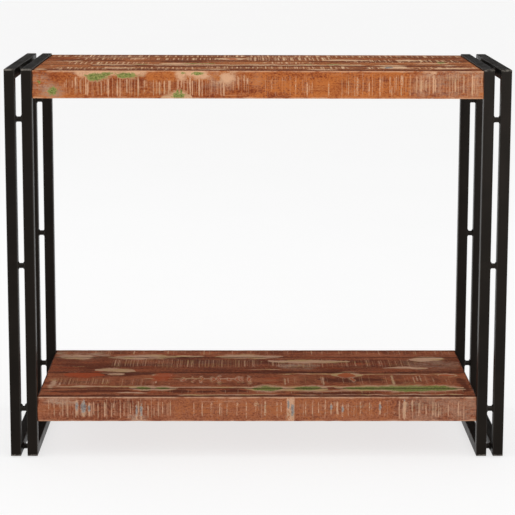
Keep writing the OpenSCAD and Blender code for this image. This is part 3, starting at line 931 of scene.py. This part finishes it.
def full_turn(steps):
    return np.arange(steps) * 2 * math.pi / steps


def turned(radii, heights, angles, origin, across, along):
    """A closed shape from rings of points: radii and heights have a row for each ring. along is
    the axis, and angles start from the direction across."""
    radii, heights = radii + 0 * angles, heights + 0 * angles
    x, y = radii * np.cos(angles), radii * np.sin(angles)
    points = origin + (x[..., None] * across + y[..., None] * np.cross(along, across)
                       + heights[..., None] * along)
    return points.reshape(-1, 3), closed_loop_faces(*x.shape)


def weld_ring(rng, origin, along, run, bar, heap_size):
    """A lumpy bead round a bar of radius bar, where it meets a tube, heaped up on the side that run
    points to."""
    a = full_turn(44)
    swell = 0.3 * np.sin(2 * a + rng.uniform(0, 6)) + 0.25 * np.sin(3 * a + rng.uniform(0, 6))
    ripple = 0.3 * np.abs(np.sin(6.5 * a + rng.uniform(0, 6)))
    from_run = np.mod(a + math.pi, 2 * math.pi) - math.pi
    heap = heap_size * np.exp(-(from_run / 0.75) ** 2)
    radius = bar + 2.1 + swell + ripple + heap
    radius = np.minimum(radius, 8.6 / np.maximum(np.abs(np.sin(a)), 0.01))
    length = 1.9 + 0.6 * swell + ripple + 0.9 * heap
    bend = np.linspace(0, math.pi / 2, 8)[:, None]
    radii = bar - 0.15 + (radius - bar + 0.15) * np.cos(bend)
    return turned(radii, length * np.sin(bend) - 0.1, a, origin, run, along)


def weld_seam(rng, start, height):
    """A short upright bead of radius about 2.1 mm."""
    t = np.linspace(0, 1, 34)[:, None]
    taper = np.sqrt(1 - (2 * t - 1) ** 4 * 0.97)
    ripple = 0.28 * np.abs(np.sin(math.pi * t * height / 2.6)) + 0.2 * np.sin(9 * t + rng.uniform(0, 6))
    return turned((2.1 + ripple) * taper, t * height, full_turn(14), start, X, Z)


def add_welds(steel):
    """The beads round both ends of every spacer and beside the fixing tabs. The lowest one at the
    front left is the most heaped."""
    rng = np.random.default_rng(5)
    for side in SIDES:
        rings, seams = [], []
        for kind, run in (("post", Z), ("rail", Y)):
            for low, high, (_, y, z) in solids_mm(f"{side}_{kind}_spacers"):
                bar = (high[1] - low[1]) / 2 - WELD_FILLET
                worst = kind == "post" and side == "left" and y < 0 and z < 200
                heaped = run if worst else run * rng.choice((1, 1, -1))
                for face, along in ((low[0], X), (high[0], -X)):
                    heap_size = 2.6 if worst else rng.choice((0.1, 0.3, 0.8))
                    rings.append(weld_ring(rng, (face, y, z), along, heaped, bar, heap_size))
        for low, high, _ in solids_mm(side + "_fixing_tabs"):
            x = max(low[0], high[0], key=abs)
            y = max(low[1], high[1], key=abs)
            start = (x + 0.3 * np.sign(x), y - 0.3 * np.sign(y), low[2] + 1.5)
            seams.append(weld_seam(rng, start, high[2] - low[2] - 3.0))
        join_shapes(side + "_spacer_welds", rings, steel)
        join_shapes(side + "_tab_welds", seams, steel)


def screw_shape(rng, origin, outward, head, length, domed):
    """A wood screw with a cross recess. origin is the middle of the head's seat or, for a flush
    head, of its top; head is its radius and length is how far it reaches into the wood."""
    a = full_turn(32)
    shank = head / 2
    top = np.linspace(0, head - 0.15, 12)[:, None] + 0 * a
    crown = SCREW_HEAD * (1 - (top / head) ** 3) ** 0.5 if domed else 0.15 * (top < head - 0.4) - 0.15
    # The recess's arms are about 1.6 mm wide, reach 2.2 mm from the middle and are up to 1.5 mm deep.
    x, y = np.abs(top * np.cos(a)), np.abs(top * np.sin(a))
    arm = smoothstep(1.05, 0.6, np.minimum(x, y)) * smoothstep(2.5, 1.9, np.maximum(x, y))
    crown = crown - 1.5 * arm * (1 - 0.2 * top)
    depth = np.arange(0.0, length - 3.5, 0.6)
    thread = shank - 0.35 + 0.33 * np.cos(depth * 2 * math.pi / 1.8)
    if domed:
        sides = [(head, 0.5), (head, 0.05), (shank, 0.0)]
    else:
        sides = [(head, -0.25), (shank, -SCREW_HEAD)]
        depth, thread = depth[depth > SCREW_HEAD], thread[depth > SCREW_HEAD]
    tail = np.array(sides + list(zip(thread, -depth)) + [(0.7, 1.0 - length), (0.05, -length)])
    radii = np.concatenate([top, tail[:, :1] + 0 * a])
    heights = np.concatenate([crown, tail[:, 1:] + 0 * a])
    turn = rng.uniform(0, math.pi)
    across = math.cos(turn) * Y + math.sin(turn) * np.cross(outward, Y)
    return turned(radii, heights, a, origin, across, outward)


def add_screws(zinc):
    """Pan-head screws through the tabs, and countersunk ones up through the battens."""
    rng = np.random.default_rng(19)
    for board in BOARDS:
        pans, flush = [], []
        for low, high, (_, y, z) in solids_mm(board + "_tab_screws"):
            tip, crown = sorted((low[0], high[0]), key=abs)
            way = np.sign(crown)
            seat = crown - way * SCREW_HEAD
            pans.append(screw_shape(rng, (seat, y, z), way * X, (high[1] - low[1]) / 2,
                                    abs(seat - tip), True))
        for low, high, (x, y, _) in solids_mm(board + "_batten_screws"):
            flush.append(screw_shape(rng, (x, y, low[2]), -Z, (high[1] - low[1]) / 2,
                                     high[2] - low[2], False))
        for shapes, kind in ((pans, "_tab_screws"), (flush, "_batten_screws")):
            join_shapes(board + kind + "_crossed", shapes, zinc, board + kind)


def add_glides(plastic):
    """Round glides with a softened lower edge and a shallow dish in the middle."""
    for side in SIDES:
        discs = []
        for low, high, (x, y, _) in solids_mm(side + "_glides"):
            radius, thick = (high[0] - low[0]) / 2, high[2] - low[2]
            outline = np.array([
                (0.05, 0.35), (1.6, 0.3), (2.4, 0.0), (radius - 0.9, 0.0), (radius - 0.3, 0.2),
                (radius, 0.8), (radius, thick), (0.05, thick)])
            discs.append(turned(outline[:, :1], outline[:, 1:], full_turn(40), (x, y, low[2]), X, Z))
        join_shapes(side + "_glide_discs", discs, plastic, side + "_glides")


# ---- CAD nodes that stay ----

def clothe_cad_nodes(steel):
    """Gives the CAD's nodes their materials by slot. Of the boards, only the ends stay in sight."""
    materials = {"frame_steel": steel,
                 "plain_wood": plain_wood_material("batten_wood", PLAIN_WOOD, 7.0),
                 "top_wood": plain_wood_material("top_end_wood", TOP_FACE, 15.0),
                 "shelf_wood": plain_wood_material("shelf_end_wood", SHELF_FACE, 15.0)}
    for entry in frame["record"]["subparts"]:
        for slot in frame["nodes"][entry["node"]].material_slots:
            slot.material = materials.get(entry["material_slot"], slot.material)


# ---- Floor, lights and camera ----

def add_floor(half=30.0):
    mesh = bpy.data.meshes.new("floor")
    corners = [(-half, -half, 0), (half, -half, 0), (half, half, 0), (-half, half, 0)]
    mesh.from_pydata(corners, [], [(0, 1, 2, 3)])
    mesh.materials.append(floor_material())
    add_to_scene("floor", mesh)


def add_world():
    """White all round, but dark behind the table from just above the horizon, so that level
    surfaces seen at a low angle don't shine white."""
    world = bpy.data.worlds.new("studio")
    world.use_nodes = True
    w = Nodes(world.node_tree)
    _, y, z = w.axes(w.add("ShaderNodeTexCoord").outputs["Generated"])
    darkness = w.product(w.step(y, 0.1, 0.5), w.step(z, 0.062, 0.11), w.step(z, 0.85, 0.6))
    colour = w.mix(darkness, (1.0, 1.0, 1.0, 1.0), (0.03, 0.03, 0.03, 1.0))
    w.put(w.tree.nodes["Background"].inputs["Color"], colour)
    bpy.context.scene.world = world


def add_lights():
    """Square soft lights that point at the middle of the table."""
    middle = Vector((0, 0, 0.4))
    for name, place, size, power in (("key", (1.0, -3.9, 0.72), 0.9, 24),
                                     ("fill", (-1.1, -3.9, 0.72), 0.8, 4),
                                     ("overhead", (0.2, 0.0, 2.9), 2.4, 14),
                                     ("rear", (-3.0, 2.2, 1.6), 1.8, 15)):
        light = bpy.data.lights.new(name, "AREA")
        light.size, light.energy = size, power
        ob = add_to_scene(name, light)
        ob.location = place
        ob.rotation_euler = (middle - Vector(place)).to_track_quat("-Z", "Y").to_euler()


CAMERA_PLACE = (-0.0321, -3.614, 1.045)
CAMERA_DOWN = 0.1602  # radians below level
CAMERA_RIGHT = 0.0092  # radians to the right of straight ahead
CAMERA_ROLL = 0.0026
LENS = 128.4  # mm, on a sensor 36 mm wide


def add_camera():
    camera = bpy.data.cameras.new("camera")
    camera.sensor_width, camera.lens, camera.shift_y = 36, LENS, -0.10
    ob = add_to_scene("camera", camera)
    ob.location = CAMERA_PLACE
    turn = Euler((math.pi / 2 - CAMERA_DOWN, 0, -CAMERA_RIGHT)).to_matrix()
    ob.rotation_euler = (turn @ Euler((0, 0, CAMERA_ROLL)).to_matrix()).to_euler()
    bpy.context.scene.camera = ob


# ---- The whole scene ----

bpy.context.scene.view_settings.view_transform = "Standard"
add_camera()
add_world()
add_lights()
add_floor()
steel = steel_material()
clothe_cad_nodes(steel)
add_boards()
add_welds(steel)
add_screws(zinc_material())
add_glides(plastic_material())
